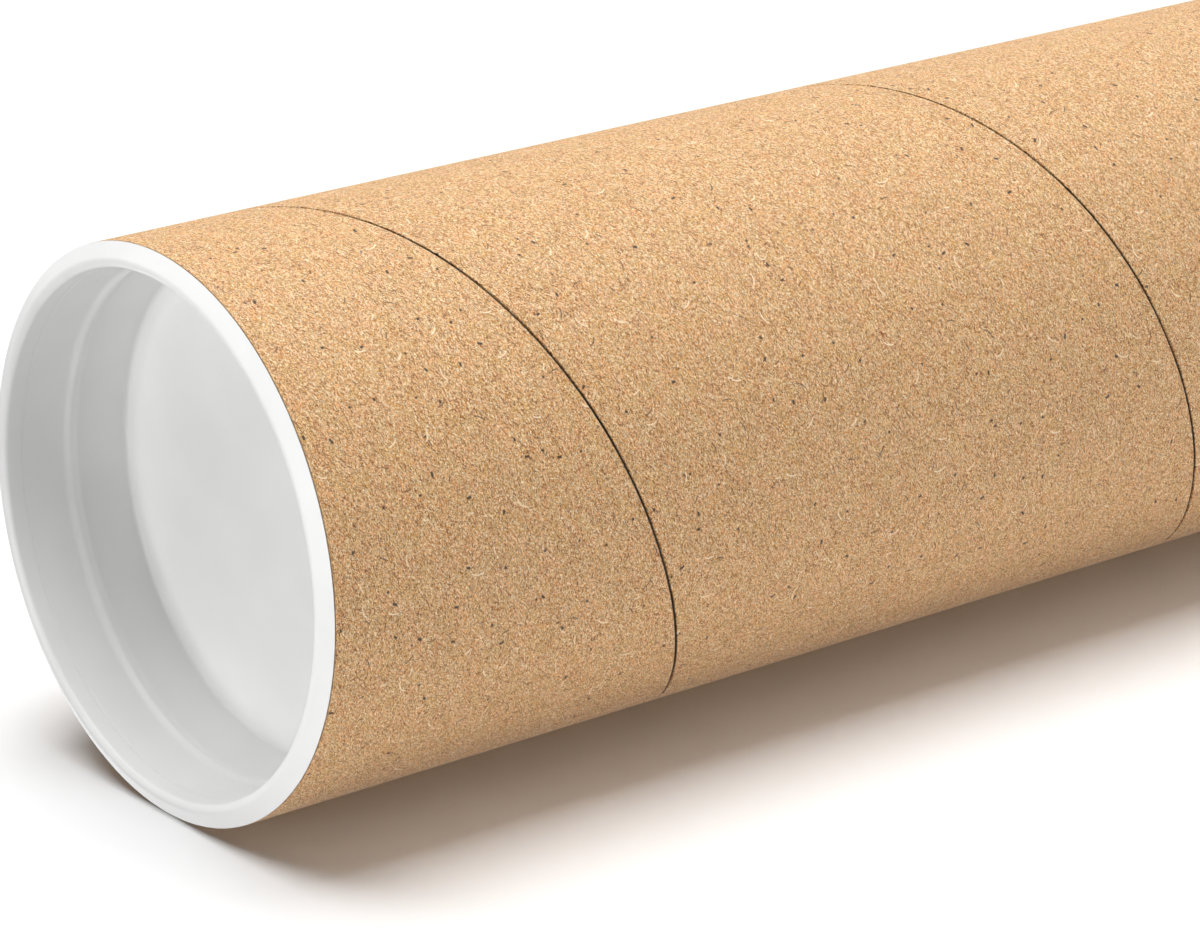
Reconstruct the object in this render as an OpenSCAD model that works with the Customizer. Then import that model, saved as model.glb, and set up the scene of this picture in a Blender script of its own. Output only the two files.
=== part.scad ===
// Mailing tube: a spiral-wound paperboard tube with a push-in plastic cap in each end.
// Millimetres. It stands on its bottom cap: z = 0 is the surface it stands on, +Z runs up the tube.

/* [Tube] */
// Inside diameter of the paper tube
bore_d = 76.2; // [50:0.1:110]
// Thickness of the wound paper wall
wall = 2.0; // [1.6:0.1:4]
// Length of the paper tube, without the rims of the caps
tube_length = 457.2; // [200:0.1:900]

/* [Seam of the outer ply] */
// Rise of the seam in one turn, which is also how far apart its turns lie
seam_pitch = 98.9; // [60:0.1:200]
// Angle about +Z at which the seam runs out at the tube's top end
seam_angle = 10.4; // [0:0.1:360]
// Width of the seam where it opens on the surface, measured along the tube
seam_width = 0.5; // [0.3:0.05:1]
// Depth of the seam, which is the thickness of the outer ply
seam_depth = 0.4; // [0.25:0.05:0.8]

/* [Cap rim] */
// Height of the rim's crest above the end of the paper
rim_height = 1.4; // [1:0.1:1.8]
// Width of the flat land that runs round the crest
rim_land = 0.75; // [0.3:0.05:1]
// How far the lip rounds inward from the land
lip_round = 0.5; // [0.2:0.05:0.7]
// Depth of the lip's lower edge below the end of the paper
lip_depth = 1.4; // [0.8:0.1:3]
// Width of the small ledge under the lip
lip_ledge = 0.25; // [0.1:0.05:0.4]

/* [Cap plug] */
// Thickness of the moulded wall and of the cup's floor
cap_wall = 1.4; // [1:0.1:1.8]
// Depth of the plug below the end of the paper
plug_depth = 19.6; // [17:0.1:30]
// How much the plug narrows from its straight part to its tip
plug_taper = 1.1; // [0.5:0.1:2]
// Radius of the outer edge at the tip of the plug
tip_round = 1.8; // [1.5:0.1:2.5]
// Radius inside the cup where its wall meets its floor
floor_round = 0.8; // [0.4:0.1:1.5]
// Depth below the end of the paper at which the cup's wall steps inward
step_depth = 8.4; // [6:0.1:10]
// Height of the sloping step
step_height = 1.2; // [0.6:0.1:2]
// How far the step narrows the cup
step_in = 0.4; // [0.2:0.05:0.5]

/* [Cap grip bead] */
// Depth of the middle of the bead below the end of the paper
bead_depth = 9.5; // [6:0.1:12]
// Height of the bead along the plug
bead_height = 2.4; // [1.5:0.1:4]
// How far the bead stands out of the plug
bead_rise = 0.25; // [0.1:0.05:0.6]
// Gap between the bead and the bore of the tube
bead_clearance = 0.05; // [0.02:0.01:0.2]

/* [Hidden] */
$fn = 96;

paper_colour = [0.76, 0.58, 0.40];
plastic_colour = [0.93, 0.93, 0.92];

// Levels of the tube's two ends
bottom_z = rim_height;
top_z = bottom_z + tube_length;

// Radii from the outside of the tube in to the inside of the cup
tube_r = bore_d / 2 + wall;
bead_r = bore_d / 2 - bead_clearance;
plug_r = bead_r - bead_rise;
cup_r = plug_r - cap_wall;
step_r = cup_r - step_in;
tip_r = plug_r - plug_taper;
cup_tip_r = cup_r - plug_taper;
cup_depth = plug_depth - cap_wall;

// The rim's outer round is one arc from the end of the paper up to the edge of the land
lip_r = cup_r + lip_ledge + lip_round;
land_r = lip_r + rim_land;
rim_run = tube_r - land_r;
rim_round = (pow(rim_run, 2) + pow(rim_height, 2)) / (2 * rim_height);
rim_start = asin((rim_round - rim_height) / rim_round);

arc_steps = 8;

// How far the cut for the bore runs out past each end of the paper
cut_over = 1;

// The seam cutter has a V section. Its outer corners lie clear of the tube.
seam_clear = 0.6;
seam_step = 7.5;
seam_lead = 3;
seam_out_r = tube_r + seam_clear;
seam_out_half = seam_width / 2 * (seam_depth + seam_clear) / seam_depth;
seam_rings = ceil(tube_length / seam_pitch * 360 / seam_step + 2 * seam_lead);

// Points on an ellipse's arc about [x, z], from angle a0 to a1
function arc(x, z, rx, rz, a0, a1) = [
    for (i = [0:arc_steps])
        let (a = a0 + (a1 - a0) * i / arc_steps)
        [x + rx * cos(a), z + rz * sin(a)]
];

// Half section of a cap from its outer edge, over the rim, down the cup and back up the plug.
// Height 0 is the end of the paper.
cap_section = concat(
    arc(land_r, rim_height - rim_round, rim_round, rim_round, rim_start, 90),
    arc(lip_r, -lip_depth, lip_round, rim_height + lip_depth, 90, 180),
    [[cup_r, -lip_depth], [cup_r, -step_depth], [step_r, -step_depth - step_height]],
    arc(cup_tip_r - floor_round, -cup_depth + floor_round, floor_round, floor_round, 0, -90),
    [[0, -cup_depth], [0, -plug_depth]],
    arc(tip_r - tip_round, -plug_depth + tip_round, tip_round, tip_round, -90, 0),
    arc(plug_r, -bead_depth, bead_rise, bead_height / 2, -90, 90),
    [[plug_r, 0]]
);

// Three corners of the seam cutter, a number of steps down from the tube's top end
function seam_corners(step) =
    let (a = seam_angle - step * seam_step)
    let (z = top_z - seam_pitch * step * seam_step / 360)
    let (out = seam_out_r * [cos(a), sin(a), 0])
    let (low = (tube_r - seam_depth) * [cos(a), sin(a), 0])
    [
        out + [0, 0, z + seam_out_half],
        low + [0, 0, z],
        out + [0, 0, z - seam_out_half]
    ];

module seam_cutter() {
    points = [for (i = [0:seam_rings]) each seam_corners(i - seam_lead)];
    sides = [
        for (i = [0:seam_rings - 1], k = [0:2])
            let (a = 3 * i + k, b = 3 * i + (k + 1) % 3)
            each [[a, a + 3, b], [b, a + 3, b + 3]]
    ];
    last = 3 * seam_rings;
    ends = [[0, 1, 2], [last + 2, last + 1, last]];
    polyhedron(points, concat(sides, ends), convexity = 8);
}

module cap() {
    rotate_extrude() polygon(cap_section);
}

module tube() {
    color(paper_colour)
    difference() {
        translate([0, 0, bottom_z]) cylinder(h = tube_length, r = tube_r);
        translate([0, 0, bottom_z - cut_over]) cylinder(h = tube_length + 2 * cut_over, d = bore_d);
        seam_cutter();
    }
}

module bottom_cap() {
    color(plastic_colour)
    translate([0, 0, bottom_z]) mirror([0, 0, 1]) cap();
}

module top_cap() {
    color(plastic_colour)
    translate([0, 0, top_z]) cap();
}

bottom_cap();
tube();
top_cap();
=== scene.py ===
"""A spiral-wound cardboard mailing tube, closed by a white push-in cap at each end and stood on one of them.

Metres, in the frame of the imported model: z = 0 is the surface it stands on and +Z runs up the tube.
"""

import bmesh
import bpy
import numpy as np
from mathutils import Matrix, Vector


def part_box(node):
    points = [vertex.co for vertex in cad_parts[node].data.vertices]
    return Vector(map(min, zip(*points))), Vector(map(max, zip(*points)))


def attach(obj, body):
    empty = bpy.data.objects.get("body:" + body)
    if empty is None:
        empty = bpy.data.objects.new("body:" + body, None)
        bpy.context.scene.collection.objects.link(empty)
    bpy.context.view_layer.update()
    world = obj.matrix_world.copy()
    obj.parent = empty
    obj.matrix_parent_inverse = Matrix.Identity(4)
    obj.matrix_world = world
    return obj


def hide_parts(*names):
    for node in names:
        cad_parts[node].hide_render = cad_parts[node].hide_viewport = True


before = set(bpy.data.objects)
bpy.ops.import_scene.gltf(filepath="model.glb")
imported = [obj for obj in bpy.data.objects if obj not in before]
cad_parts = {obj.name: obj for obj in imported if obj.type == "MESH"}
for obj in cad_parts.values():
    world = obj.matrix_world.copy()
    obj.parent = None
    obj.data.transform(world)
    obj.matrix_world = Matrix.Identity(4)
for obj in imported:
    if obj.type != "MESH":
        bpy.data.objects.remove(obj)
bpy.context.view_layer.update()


# The paper tube. Long strips of brown paper are glued over each other in a spiral round a mandrel, and the
# tube is cut to length once it has set. The edges of the outer strip meet in a narrow open seam, and so do
# those of the inner one, a part of a turn away.
MM = 0.001
TURN = 2 * np.pi
OUTSIDE_R = 40.1 * MM
BORE_R = 38.1 * MM
PAPER_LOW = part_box("tube")[0].z
PAPER_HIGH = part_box("tube")[1].z
SEAM_RISE = 98.9 * MM
SEAM_FACING = np.radians(10.4)
COLUMNS = 240
CUT_ROWS = 7


def smooth(low, high, value):
    """0 below low, 1 above high, and the curve 3x^2 - 2x^3 between them."""
    x = np.clip((value - low) / (high - low), 0, 1)
    return x * x * (3 - 2 * x)


def seam_openness(turns):
    """How wide the seam gapes along its length, as a share of its usual width: a slow and a quick sine."""
    return 1 + 0.07 * np.sin(7.3 * TURN * turns + 1.0) + 0.04 * np.sin(17.9 * TURN * turns)


def seam_dip(turn, height, lead, half_gap, depth):
    """How far the paper lies below the ply's face at a place on the wall.

    The nearest seam passes k turns down: k is (top + lead + rise * turn - height) / rise, rounded.
    The dip is the full depth in the seam's floor and eases out over its shoulders with the distance from it.
    """
    rises = (PAPER_HIGH + lead - height) / SEAM_RISE + turn
    nearest = np.round(rises)
    distance = np.abs(rises - nearest) * SEAM_RISE
    share = distance / (half_gap * seam_openness(turn - nearest))
    return depth * (1 - smooth(0.7, 1.3, share))


def strip_lean(radius):
    """The angle at which a strip climbs: the one whose tangent is its rise over the way round at a radius."""
    return np.arctan2(SEAM_RISE, TURN * radius)


def grid_quads(columns, rows):
    """Corners of the quads between neighbours on a grid whose points are stored column by column."""
    corner = np.arange(columns)[:, None] * rows + np.arange(rows - 1)
    return np.stack([corner, corner + rows, corner + rows + 1, corner + 1], -1).reshape(-1, 4)


def wound_ply(radius, inward, lead, half_gap, depth, shoulders, spread):
    """One face of the wound wall: columns run up the tube, and rows climb round it with the seam.

    A row keeps a distance e from the k-th turn of the seam. Its height is top + lead + rise * (turn - k) - e,
    held between the tube's two ends. The radius is the ply's own, less the seam's dip, or more on the inside.
    The map unrolls the strip: u runs along it and v across it, from the turn and the height by one rotation.
    """
    near = np.array(shoulders) * half_gap
    far = np.array(spread) * MM
    below = np.concatenate([near, far])
    offsets = np.concatenate([[-SEAM_RISE / 2], -below[::-1], [0], below])
    gaping = np.abs(offsets) <= near[-1]
    seams = np.arange(int(np.ceil((PAPER_HIGH - PAPER_LOW + lead) / SEAM_RISE)) + 2)
    row_seam = np.repeat(seams, len(offsets))
    row_offset = np.tile(offsets, len(seams))
    row_gaping = np.tile(gaping, len(seams))
    turn = np.linspace(0, 1, COLUMNS + 1)[:, None]
    openness = np.where(row_gaping, seam_openness(turn - row_seam), 1)
    height = PAPER_HIGH + lead + SEAM_RISE * (turn - row_seam) - row_offset * openness
    height = np.clip(height, PAPER_LOW, PAPER_HIGH)
    dip = seam_dip(turn, height, lead, half_gap, depth)
    reach = radius + dip if inward else radius - dip
    angle = SEAM_FACING + TURN * turn
    points = np.stack([reach * np.cos(angle), reach * np.sin(angle), height], -1)

    quads = grid_quads(COLUMNS, len(row_seam))
    strip = np.where(row_offset >= 0, row_seam, row_seam - 1)[:-1]
    strip = np.repeat(np.tile(strip, COLUMNS), 4).reshape(-1, 4)
    round_way = TURN * radius * (np.broadcast_to(turn, height.shape).reshape(-1)[quads] - strip)
    up_way = height.reshape(-1)[quads]
    lean = strip_lean(radius)
    along = round_way * np.cos(lean) + up_way * np.sin(lean)
    across = up_way * np.cos(lean) - round_way * np.sin(lean)
    flat = np.stack([along, across], -1)
    if inward:
        return points.reshape(-1, 3), quads, flat
    return points.reshape(-1, 3), quads[:, ::-1], flat[:, ::-1]


def cut_end(height, outer, inner):
    """The sawn ring at one end of the wall: straight lines from the outer face to the bore at every column.

    The map gives the turn as u and the share of the wall's thickness from the outside as v.
    """
    turn = np.linspace(0, 1, COLUMNS + 1)[:, None]
    share = np.linspace(0, 1, CUT_ROWS)
    start = OUTSIDE_R - seam_dip(turn, height, **outer)
    stop = BORE_R + seam_dip(turn, height, **inner)
    reach = start + (stop - start) * share
    angle = SEAM_FACING + TURN * turn
    points = np.stack([reach * np.cos(angle), reach * np.sin(angle), np.full(reach.shape, height)], -1)
    quads = grid_quads(COLUMNS, CUT_ROWS)
    flat = np.stack([np.broadcast_to(turn, reach.shape), np.broadcast_to(share, reach.shape)], -1)
    flat = flat.reshape(-1, 2)[quads]
    if height == PAPER_LOW:
        return points.reshape(-1, 3), quads[:, ::-1], flat[:, ::-1]
    return points.reshape(-1, 3), quads, flat


MERGE_WITHIN = 1e-7
SHARP_ANGLE = np.radians(60)


def closed_mesh(name, grids, map_name):
    """Joins grids of (points, quads, map) into one closed mesh, where each grid keeps its own material.

    Points that meet are merged, and quads that have shrunk to nothing at an end or a pole go with them.
    """
    firsts = np.cumsum([0] + [len(points) for points, _, _ in grids[:-1]])
    points = np.concatenate([grid[0] for grid in grids])
    quads = np.concatenate([grid[1] + first for grid, first in zip(grids, firsts)])
    flat = np.concatenate([grid[2].reshape(-1, 2) for grid in grids])
    finish = np.repeat(np.arange(len(grids)), [len(grid[1]) for grid in grids])
    mesh = bpy.data.meshes.new(name)
    mesh.from_pydata(points.tolist(), [], quads.tolist())
    mesh.polygons.foreach_set("material_index", finish.astype(np.int32))
    mesh.uv_layers.new(name=map_name).data.foreach_set("uv", flat.astype(np.float32).ravel())
    work = bmesh.new()
    work.from_mesh(mesh)
    bmesh.ops.remove_doubles(work, verts=work.verts, dist=MERGE_WITHIN)
    bmesh.ops.delete(work, geom=[edge for edge in work.edges if not edge.link_faces], context="EDGES")
    work.to_mesh(mesh)
    work.free()
    mesh.polygons.foreach_set("use_smooth", np.ones(len(mesh.polygons), bool))
    mesh.set_sharp_from_angle(angle=SHARP_ANGLE)
    return mesh


class Wire:
    """An output socket of a shader. Arithmetic on wires adds Math nodes, and numbers alone stay in Python."""

    def __init__(self, socket):
        self.socket = socket

    def node(self, kind, settings=None, sockets=None, out=0):
        """Adds any other node to the same shader: its settings first, then its sockets' values or links."""
        tree = self.socket.id_data
        new = tree.nodes.new("ShaderNode" + kind)
        for name, value in (settings or {}).items():
            setattr(new, name, value)
        for name, value in (sockets or {}).items():
            if isinstance(value, Wire):
                tree.links.new(value.socket, new.inputs[name])
            else:
                new.inputs[name].default_value = value
        return Wire(new.outputs[out])

    def other(self, out):
        """Another output of the same node."""
        return Wire(self.socket.node.outputs[out])

    def math(self, operation, first, second=0.0):
        return self.node("Math", {"operation": operation}, {0: first, 1: second})

    def __add__(self, other):
        return self.math("ADD", self, other)

    def __radd__(self, other):
        return self.math("ADD", other, self)

    def __sub__(self, other):
        return self.math("SUBTRACT", self, other)

    def __rsub__(self, other):
        return self.math("SUBTRACT", other, self)

    def __mul__(self, other):
        return self.math("MULTIPLY", self, other)

    def __rmul__(self, other):
        return self.math("MULTIPLY", other, self)

    def __lt__(self, other):
        return self.math("LESS_THAN", self, other)

    def __abs__(self):
        return self.math("ABSOLUTE", self)

    def upto(self, low, high):
        """0 below low, 1 above high, and smooth between them; low above high turns it round."""
        return self.node("MapRange", {"interpolation_type": "SMOOTHSTEP"},
                         {"Value": self, "From Min": low, "From Max": high})

    def tint(self, start, end):
        """The colour start where this wire is 0 and end where it is 1."""
        return self.node("Mix", {"data_type": "RGBA"}, {0: self, 6: start, 7: end}, out=2)

    def dyed(self, colour):
        """This colour multiplied by another."""
        return self.node("Mix", {"data_type": "RGBA", "blend_type": "MULTIPLY"},
                         {0: 1.0, 6: self, 7: colour}, out=2)

    def axis(self, index):
        """One of the three coordinates of this place."""
        return self.node("SeparateXYZ", sockets={"Vector": self}, out=index)

    def laid(self, scale, turned=0.0):
        """These coordinates turned in their plane, then multiplied by a scale for each axis."""
        spun = self.node("Mapping", sockets={"Vector": self, "Rotation": (0, 0, turned)})
        return spun.node("Mapping", sockets={"Vector": spun, "Scale": scale})

    def noise(self, detail=2.0, rough=0.5, stir=0.0):
        """Soft random values about 0.5 on these coordinates."""
        return self.node("TexNoise", sockets={"Vector": self, "Scale": 1.0, "Detail": detail,
                                              "Roughness": rough, "Distortion": stir})

    def bump(self, strength, distance):
        """The normal of a surface whose height is this wire."""
        return self.node("Bump", sockets={"Strength": strength, "Distance": distance, "Height": self})


def new_finish(name):
    """A material with only its shader in it, and the wire of its Object coordinates."""
    material = bpy.data.materials.new(name)
    material.use_nodes = True
    shader = material.node_tree.nodes["Principled BSDF"]
    place = material.node_tree.nodes.new("ShaderNodeTexCoord").outputs["Object"]
    return material, shader, Wire(place)


def feed(shader, **wires):
    """Links wires to the shader's sockets of those names, with _ for a space."""
    for name, wire in wires.items():
        shader.id_data.links.new(wire.socket, shader.inputs[name.replace("_", " ")])


SHORTEST_MARK = 0.3


def stray_marks(sheet, cell, share, length, thickness, bend, sway=np.pi):
    """Curved marks scattered over a sheet, at most one to a cell: 1 on a mark and 0 off it. Sizes are in mm.

    Within its cell a mark is the line y = bend * x^2, turned by a random angle within the sway, and drawn
    where |x| is under half its random length. Only a random share of the cells has one.
    """
    scaled = sheet.laid((1 / cell, 1 / cell, 1))
    chosen = scaled.node("TexVoronoi", {"voronoi_dimensions": "2D"},
                         {"Vector": scaled, "Scale": 1.0, "Randomness": 1.0}, out="Color")
    local = scaled.node("VectorMath", {"operation": "SUBTRACT"}, {0: scaled, 1: chosen.other("Position")})
    red = chosen.node("SeparateColor", sockets={"Color": chosen})
    green, blue = red.other(1), red.other(2)
    spun = local.node("VectorRotate", {"rotation_type": "Z_AXIS"},
                      {"Vector": local, "Angle": (red - 0.5) * sway})
    x, y = spun.axis(0) * cell, spun.axis(1) * cell
    reach = (green * (1 - SHORTEST_MARK) + SHORTEST_MARK) * (length / 2)
    on_line = abs(y - x * x * bend).upto(thickness * 0.75, thickness * 0.25)
    return on_line * (abs(x) < reach) * (blue < share)


FIBRE_STRETCH = 0.35


def felted(sheet, layers, most):
    """Fine fibres in layers of (direction, fineness, weight), which are added up and held to a most.

    A layer's fibres are the thin lines along which a noise, stretched in its direction, is near 0.5.
    """
    fibres = 0
    for direction, fineness, weight in layers:
        stretched = sheet.laid((FIBRE_STRETCH * fineness, fineness, 1), direction).noise(0.0, 0.5, 0.6)
        fibres = abs(stretched - 0.5).upto(0.05, 0.01) * weight + fibres
    return fibres.math("MINIMUM", fibres, most)


# Where the painted seam shade starts and where it is full, in mm in from the strip's edge.
SEAM_SHADE_FROM = 0.24
SEAM_SHADE_FULL = 0.17


def brown_paper():
    """Unbleached brown paper: a felt of pale and dark fibres over golden pulp, with shives and stray hairs.

    The strip's two edges, half a width either side of its middle line, carry painted shade: their colour is
    darkened nearly to black to stand for the shadow in the open seam.
    """
    material, shader, place = new_finish("brown_paper_outside")
    sheet = place.node("UVMap", {"uv_map": "strip"}).laid((1 / MM, 1 / MM, 1))

    clouds = sheet.laid((0.16, 0.22, 1)).noise(3.0, 0.6)
    patches = sheet.laid((0.30, 0.40, 1)).noise(2.0, 0.5)
    speckle = sheet.laid((2.6, 5.2, 1)).noise(1.0, 0.5, 0.3).upto(0.38, 0.62)
    pulp = speckle.tint((0.570, 0.224, 0.037, 1), (0.830, 0.434, 0.130, 1))
    rosy = patches.upto(0.35, 0.65).tint((1.04, 0.97, 1.08, 1), (0.97, 1.02, 0.90, 1))
    cloudy = clouds.upto(0.3, 0.7).tint((0.93, 0.92, 0.91, 1), (1.06, 1.06, 1.06, 1))
    toned = pulp.dyed(rosy).dyed(cloudy)

    pale = felted(sheet, [(0.1, 4.2, 1.0), (0.7, 4.1, 0.8), (-0.6, 4.0, 0.8)], most=1.0)
    dark = felted(sheet, [(0.2, 4.6, 1.0), (-0.3, 4.4, 0.9)], most=0.95)
    toned = pale.tint(toned, (1.0, 0.84, 0.55, 1))
    toned = dark.tint(toned, (0.210, 0.058, 0.003, 1))

    dashes = stray_marks(sheet, cell=1.5, share=0.45, length=0.9, thickness=0.13, bend=0.2, sway=1.4)
    hairs = stray_marks(sheet, cell=6.5, share=0.4, length=2.0, thickness=0.18, bend=0.25)
    askew = sheet.laid((1, 1, 1), 0.6)
    shives = stray_marks(askew, cell=5.0, share=0.4, length=0.8, thickness=0.36, bend=0.1)
    crosswise = sheet.laid((1, 1, 1), 1.9)
    threads = stray_marks(crosswise, cell=7.0, share=0.5, length=2.2, thickness=0.2, bend=0.3)
    toned = (dashes * 0.6).tint(toned, (0.20, 0.095, 0.035, 1))
    toned = (hairs * 0.8).tint(toned, (0.07, 0.035, 0.015, 1))
    toned = (shives * 0.95).tint(toned, (0.035, 0.018, 0.012, 1))
    toned = (threads * 0.8).tint(toned, (0.98, 0.84, 0.60, 1))

    upright = np.cos(strip_lean(OUTSIDE_R)) / MM
    half = SEAM_RISE / 2 * upright
    middle = PAPER_HIGH * upright - half
    # Painted shade: the strip's edges are darkened nearly to black in the colour, standing in for the shadow
    # inside the open seam.
    seam_painted_shade = abs(sheet.axis(1) - middle).upto(half - SEAM_SHADE_FROM, half - SEAM_SHADE_FULL)
    toned = seam_painted_shade.tint(toned, (0.03, 0.017, 0.01, 1))

    relief = pale * 0.6 + clouds * 0.5 + threads * 0.6
    feed(shader, Base_Color=toned, Roughness=0.58 + 0.1 * patches, Normal=relief.bump(0.5, 0.05 * MM))
    shader.inputs["Specular IOR Level"].default_value = 0.4
    shader.inputs["Sheen Weight"].default_value = 0.04
    shader.inputs["Sheen Roughness"].default_value = 0.5
    return material


PLIES = 5


def sawn_paper():
    """The cut through the glued plies: darker glue lines between layers of torn, paler fibre."""
    material, shader, place = new_finish("brown_paper_cut")
    depth = place.node("UVMap", {"uv_map": "strip"}).axis(1)
    torn = place.laid((2.5 / MM, 2.5 / MM, 1)).noise(3.0, 0.6)
    ply = (depth + (torn - 0.5) * 0.10) * PLIES
    glue = abs(ply.math("FRACT", ply) - 0.5).upto(0.36, 0.46)
    fibre = torn.upto(0.3, 0.7).tint((0.46, 0.30, 0.17, 1), (0.74, 0.54, 0.35, 1))
    toned = (glue * 0.65).tint(fibre, (0.24, 0.14, 0.07, 1))
    relief = torn - glue * 0.7
    feed(shader, Base_Color=toned, Normal=relief.bump(0.6, 0.08 * MM))
    shader.inputs["Roughness"].default_value = 0.9
    shader.inputs["Specular IOR Level"].default_value = 0.2
    return material


def grey_board():
    """The inner strip: greyer recycled board with flecks, smoother than the outside."""
    material, shader, place = new_finish("brown_paper_inside")
    sheet = place.node("UVMap", {"uv_map": "strip"}).laid((1 / MM, 1 / MM, 1))
    fibres = sheet.laid((1.0, 3.4, 1)).noise(3.0, 0.6, 0.4)
    clouds = sheet.laid((0.12, 0.16, 1)).noise(3.0, 0.6)
    pulp = fibres.upto(0.32, 0.68).tint((0.27, 0.19, 0.12, 1), (0.50, 0.38, 0.27, 1))
    cloudy = clouds.upto(0.3, 0.7).tint((0.90, 0.90, 0.90, 1), (1.08, 1.08, 1.08, 1))
    flecks = stray_marks(sheet, cell=4.0, share=0.6, length=1.0, thickness=0.30, bend=0.2)
    toned = (flecks * 0.6).tint(pulp.dyed(cloudy), (0.12, 0.10, 0.09, 1))
    feed(shader, Base_Color=toned, Roughness=0.75 + 0.15 * fibres, Normal=fibres.bump(0.4, 0.04 * MM))
    shader.inputs["Specular IOR Level"].default_value = 0.3
    return material


outer_seam = {"lead": 0.0, "half_gap": 0.22 * MM, "depth": 0.4 * MM}
inner_seam = {"lead": 0.37 * SEAM_RISE, "half_gap": 0.16 * MM, "depth": 0.25 * MM}
tube_mesh = closed_mesh("tube_paper", [
    wound_ply(OUTSIDE_R, False, shoulders=(0.5, 0.8, 0.95, 1.1, 1.25, 1.5, 2.2),
              spread=(1.2, 2.6, 5, 9, 14, 21, 30, 40), **outer_seam),
    cut_end(PAPER_HIGH, outer_seam, inner_seam),
    cut_end(PAPER_LOW, outer_seam, inner_seam),
    wound_ply(BORE_R, True, shoulders=(0.45, 1.0, 1.5, 2.2), spread=(1.2, 5, 14, 30), **inner_seam),
], "strip")
cut_finish = sawn_paper()
for finish in (brown_paper(), cut_finish, cut_finish, grey_board()):
    tube_mesh.materials.append(finish)
tube = bpy.data.objects.new("tube_paper", tube_mesh)
bpy.context.scene.collection.objects.link(tube)
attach(tube, "tube")
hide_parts("tube")


# The two end caps. Each is one cup moulded in white polyethylene, pushed into the bore until its rim lies on
# the paper's end. The rim is a low dome, flush with the tube, and inside it a lip leads into the cup. Halfway
# down a ridge runs round the cup, behind the bead that grips the paper, and the plug tapers below it.
CAP_SIDES = 288
ROUND_STEPS = 9
SAME_POINT = 1e-6


def unit(arrows):
    """Arrows of length 1 in the same directions. An arrow of no length stays as it is."""
    length = np.linalg.norm(arrows, axis=-1, keepdims=True)
    return arrows / np.where(length > 0, length, 1)


def eased(corners):
    """A smooth half section through corners of (radius, height, ease), in millimetres.

    Each corner is replaced by the curve (1-t)^2 A + 2t(1-t) P + t^2 C, where A and C lie on the two sides
    that meet at P, at its ease from it. A corner with no ease stays sharp.
    """
    corners = np.array(corners, float)
    spot = corners[:, None, :2]
    ease = corners[:, None, 2:]
    before = np.roll(spot, 1, 0) - spot
    after = np.roll(spot, -1, 0) - spot
    before[0] = 0
    after[-1] = 0
    start = spot + ease * unit(before)
    stop = spot + ease * unit(after)
    t = np.linspace(0, 1, ROUND_STEPS)[None, :, None]
    curve = (1 - t) ** 2 * start + 2 * t * (1 - t) * spot + t ** 2 * stop
    curve = curve.reshape(-1, 2)
    fresh = np.ones(len(curve), bool)
    fresh[1:] = np.linalg.norm(np.diff(curve, axis=0), axis=1) > SAME_POINT
    return curve[fresh]


def swept_round(section, upward, level):
    """A half section, in millimetres above the paper's end, swept once round the axis.

    The point at share s of the section and turn a is (r cos a, r sin a, level +- h). The map gives the turn
    as u and the length along the section as v, in metres.
    """
    section = section * MM
    angle = np.linspace(0, TURN, CAP_SIDES + 1)[:, None]
    height = level + section[:, 1] if upward else level - section[:, 1]
    points = np.stack([section[:, 0] * np.cos(angle), section[:, 0] * np.sin(angle),
                       np.broadcast_to(height, (CAP_SIDES + 1, len(section)))], -1)
    quads = grid_quads(CAP_SIDES, len(section))
    run = np.concatenate([[0], np.cumsum(np.linalg.norm(np.diff(section, axis=0), axis=1))])
    flat = np.stack([np.broadcast_to(angle * OUTSIDE_R, points.shape[:2]),
                     np.broadcast_to(run, points.shape[:2])], -1).reshape(-1, 2)[quads]
    if upward:
        return points.reshape(-1, 3), quads[:, ::-1], flat[:, ::-1]
    return points.reshape(-1, 3), quads, flat


cup_floor = [
    (0.0, -18.2, 0),
    (18.0, -18.2, 0.5),
    (35.35, -18.2, 0.8),
]
cup_ridge = [
    (36.28, -10.4, 0.40),
    (35.88, -9.45, 0.28),
    (35.92, -8.98, 0.24),
    (36.45, -8.15, 0.35),
]
lip = [
    (36.45, -1.95, 0.12),
    (36.58, -1.55, 0.10),
    (36.46, -1.25, 0.12),
]
domed_rim = [
    (36.64, 1.05, 0.45),
    (37.65, 1.51, 0.55),
    (38.75, 0.92, 0.60),
    (40.12, 0.20, 0.08),
    (39.40, 0.0, 0.10),
]
plug = [
    (37.80, 0.0, 0.06),
    (37.80, -8.3, 0.5),
    (38.05, -9.5, 0.7),
    (37.80, -10.7, 0.5),
    (36.80, -19.6, 1.7),
    (18.0, -19.6, 0.5),
    (0.0, -19.6, 0),
]
cap_section = eased(cup_floor + cup_ridge + lip + domed_rim + plug)

CLOUDS_PER_M = 60
PEBBLES_PER_M = 1500


def cap_plastic():
    """White polyethylene: satin, faintly clouded, with the fine pebbled skin that its mould leaves."""
    material, shader, place = new_finish("cap_plastic_white")
    clouds = place.laid((CLOUDS_PER_M,) * 3).noise(2.0, 0.5)
    pebbles = place.laid((PEBBLES_PER_M,) * 3).noise(2.0, 0.6)
    toned = clouds.upto(0.3, 0.7).tint((0.79, 0.79, 0.785, 1), (0.83, 0.83, 0.825, 1))
    feed(shader, Base_Color=toned, Roughness=0.36 + 0.12 * clouds, Normal=pebbles.bump(0.15, 0.03 * MM))
    shader.inputs["Specular IOR Level"].default_value = 0.3
    return material


cap_finish = cap_plastic()
for body, upward, level in (("bottom_cap", False, PAPER_LOW), ("top_cap", True, PAPER_HIGH)):
    cap_mesh = closed_mesh(body + "_moulding", [swept_round(cap_section, upward, level)], "wall")
    cap_mesh.materials.append(cap_finish)
    cap = bpy.data.objects.new(body + "_moulding", cap_mesh)
    bpy.context.scene.collection.objects.link(cap)
    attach(cap, body)
    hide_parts(body)


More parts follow.
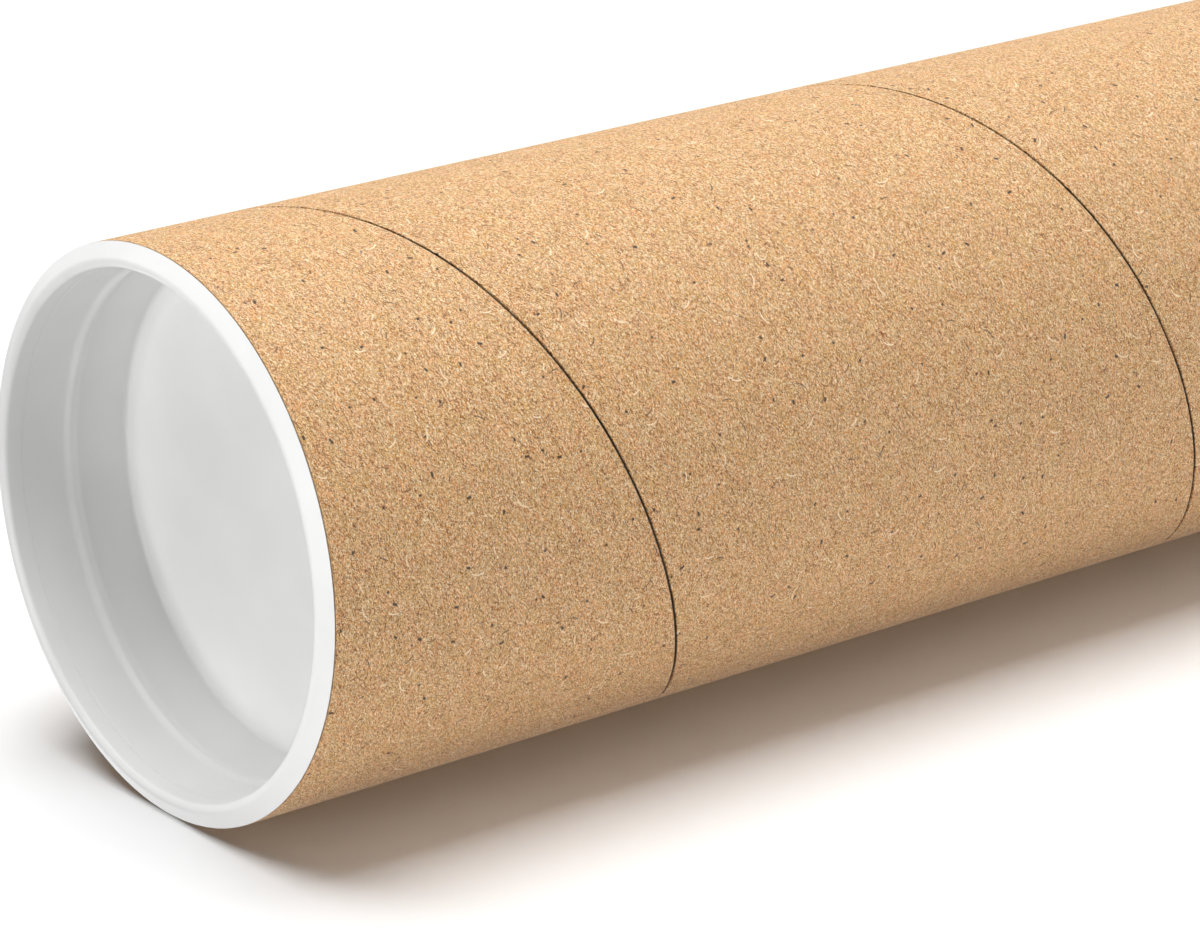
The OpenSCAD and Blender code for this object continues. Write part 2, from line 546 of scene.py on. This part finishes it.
# The studio. The tube stands on a pale floor, and a white sheet hangs straight behind it and touches it: to
# the rolled camera the sheet is a table that the tube lies on, and it keeps the tube's shadow. Only its half
# on the camera's side throws light back. Its back is clear, so that the tube is seen from behind too.
FLOOR_HALF = 4.0
SHEET_HALF = 3.0
SHEET_GAP = 0.05 * MM
DULL_AT_X = 0.02
BRIGHT_AT_X = -0.06


def flat_sheet(name, middle, side, up, half):
    """A square about a middle point, spanned by two unit vectors, and its object, linked to the scene."""
    middle, side, up = (np.array(v, float) for v in (middle, side, up))
    corners = middle + half * np.array([-side - up, side - up, side + up, up - side])
    mesh = bpy.data.meshes.new(name)
    mesh.from_pydata(corners.tolist(), [], [(0, 1, 2, 3)])
    sheet = bpy.data.objects.new(name, mesh)
    bpy.context.scene.collection.objects.link(sheet)
    return sheet


def floor_finish():
    """Matt white board."""
    material, shader, place = new_finish("studio_floor")
    mottle = place.laid((3, 3, 3)).noise(2.0, 0.5)
    feed(shader, Base_Color=mottle.tint((0.93, 0.93, 0.93, 1), (0.95, 0.95, 0.95, 1)))
    shader.inputs["Roughness"].default_value = 0.9
    shader.inputs["Specular IOR Level"].default_value = 0.1
    return material


def sheet_finish():
    """Matt white on its front. The camera sees all of it, and other rays meet only the camera's side of it.

    That side has a soft edge. The lamps shine through the whole sheet, because shadow rays pass it.
    """
    material, shader, place = new_finish("studio_sheet")
    shader.inputs["Base Color"].default_value = (0.95, 0.95, 0.95, 1)
    shader.inputs["Roughness"].default_value = 1.0
    shader.inputs["Specular IOR Level"].default_value = 0.0
    eye = place.node("LightPath", out="Is Camera Ray")
    back = place.node("NewGeometry", out="Backfacing")
    bright = place.axis(0).upto(DULL_AT_X, BRIGHT_AT_X) * (1 - eye.other("Is Shadow Ray"))
    solid = eye.math("MAXIMUM", eye, bright) * (1 - back)
    seen = eye.node("MixShader", sockets={0: solid, 1: place.node("BsdfTransparent")})
    tree = material.node_tree
    tree.links.new(shader.outputs[0], seen.socket.node.inputs[2])
    tree.links.new(seen.socket, tree.nodes["Material Output"].inputs["Surface"])
    return material


floor = flat_sheet("studio_floor", (0, 0, 0), (1, 0, 0), (0, 1, 0), FLOOR_HALF)
floor.data.materials.append(floor_finish())
sheet = flat_sheet("studio_sheet", (0, OUTSIDE_R + SHEET_GAP, 0), (1, 0, 0), (0, 0, 1), SHEET_HALF)
sheet.data.materials.append(sheet_finish())


# The light: one large soft lamp before the tube, one over its top end and a weaker one behind it, in a room
# that throws little back. To the camera and in reflections the room is plain white.
ROOM_LEVEL = 0.05
LAMP_AIM = Vector((0, 0, 0.40))
world = bpy.data.worlds.new("studio_room")
bpy.context.scene.world = world
world.use_nodes = True
room = world.node_tree.nodes["Background"]
room.inputs["Color"].default_value = (1, 1, 1, 1)
camera_ray = Wire(world.node_tree.nodes.new("ShaderNodeLightPath").outputs["Is Camera Ray"])
looking = camera_ray.math("MAXIMUM", camera_ray, camera_ray.other("Is Glossy Ray"))
looking = looking.math("MAXIMUM", looking, camera_ray.other("Is Transmission Ray"))
world.node_tree.links.new((ROOM_LEVEL + (1 - ROOM_LEVEL) * looking).socket, room.inputs["Strength"])


def soft_lamp(name, direction, distance, size, level, bounces=8):
    """A square lamp that looks at the tube, with the power that gives a facing surface that light level."""
    lamp = bpy.data.lights.new(name, "AREA")
    lamp.shape = "SQUARE"
    lamp.size = size
    lamp.energy = level * np.pi ** 2 * distance ** 2
    lamp.cycles.max_bounces = bounces
    holder = bpy.data.objects.new(name, lamp)
    way = Vector(direction).normalized()
    holder.location = LAMP_AIM + way * distance
    holder.rotation_euler = way.to_track_quat("Z", "Y").to_euler()
    bpy.context.scene.collection.objects.link(holder)


soft_lamp("lamp_front", (0.06, -1.0, 0.12), distance=1.5, size=1.1, level=1.12)
soft_lamp("lamp_top", (0.05, 0.05, 1.0), distance=1.5, size=0.6, level=0.52)
soft_lamp("lamp_back", (0.70, 0.70, -0.12), distance=1.3, size=1.0, level=0.35, bounces=0)


# The camera: a long lens over the top end, rolled so that the tube lies across the picture.
SENSOR = 36.0
PICTURE_W = 1200
FOCAL_PX = 4990.5
EYE = (-0.52317, -0.23421, 0.80062)
LOOK_RIGHT = Vector((-0.62322, 0.0, -0.78204))
LOOK_DOWN = Vector((-0.26529, 0.94070, 0.21140))
LOOK_AHEAD = Vector((0.73567, 0.33923, -0.58628))
camera = bpy.data.cameras.new("camera")
camera.sensor_fit = "HORIZONTAL"
camera.sensor_width = SENSOR
camera.lens = FOCAL_PX / PICTURE_W * SENSOR
camera.clip_start = 0.05
camera.clip_end = 50
eye_point = bpy.data.objects.new("camera", camera)
aimed = Matrix((LOOK_RIGHT, -LOOK_DOWN, -LOOK_AHEAD)).transposed().to_4x4()
eye_point.matrix_world = Matrix.Translation(EYE) @ aimed
bpy.context.scene.collection.objects.link(eye_point)
bpy.context.scene.camera = eye_point
bpy.context.scene.view_settings.view_transform = "Standard"
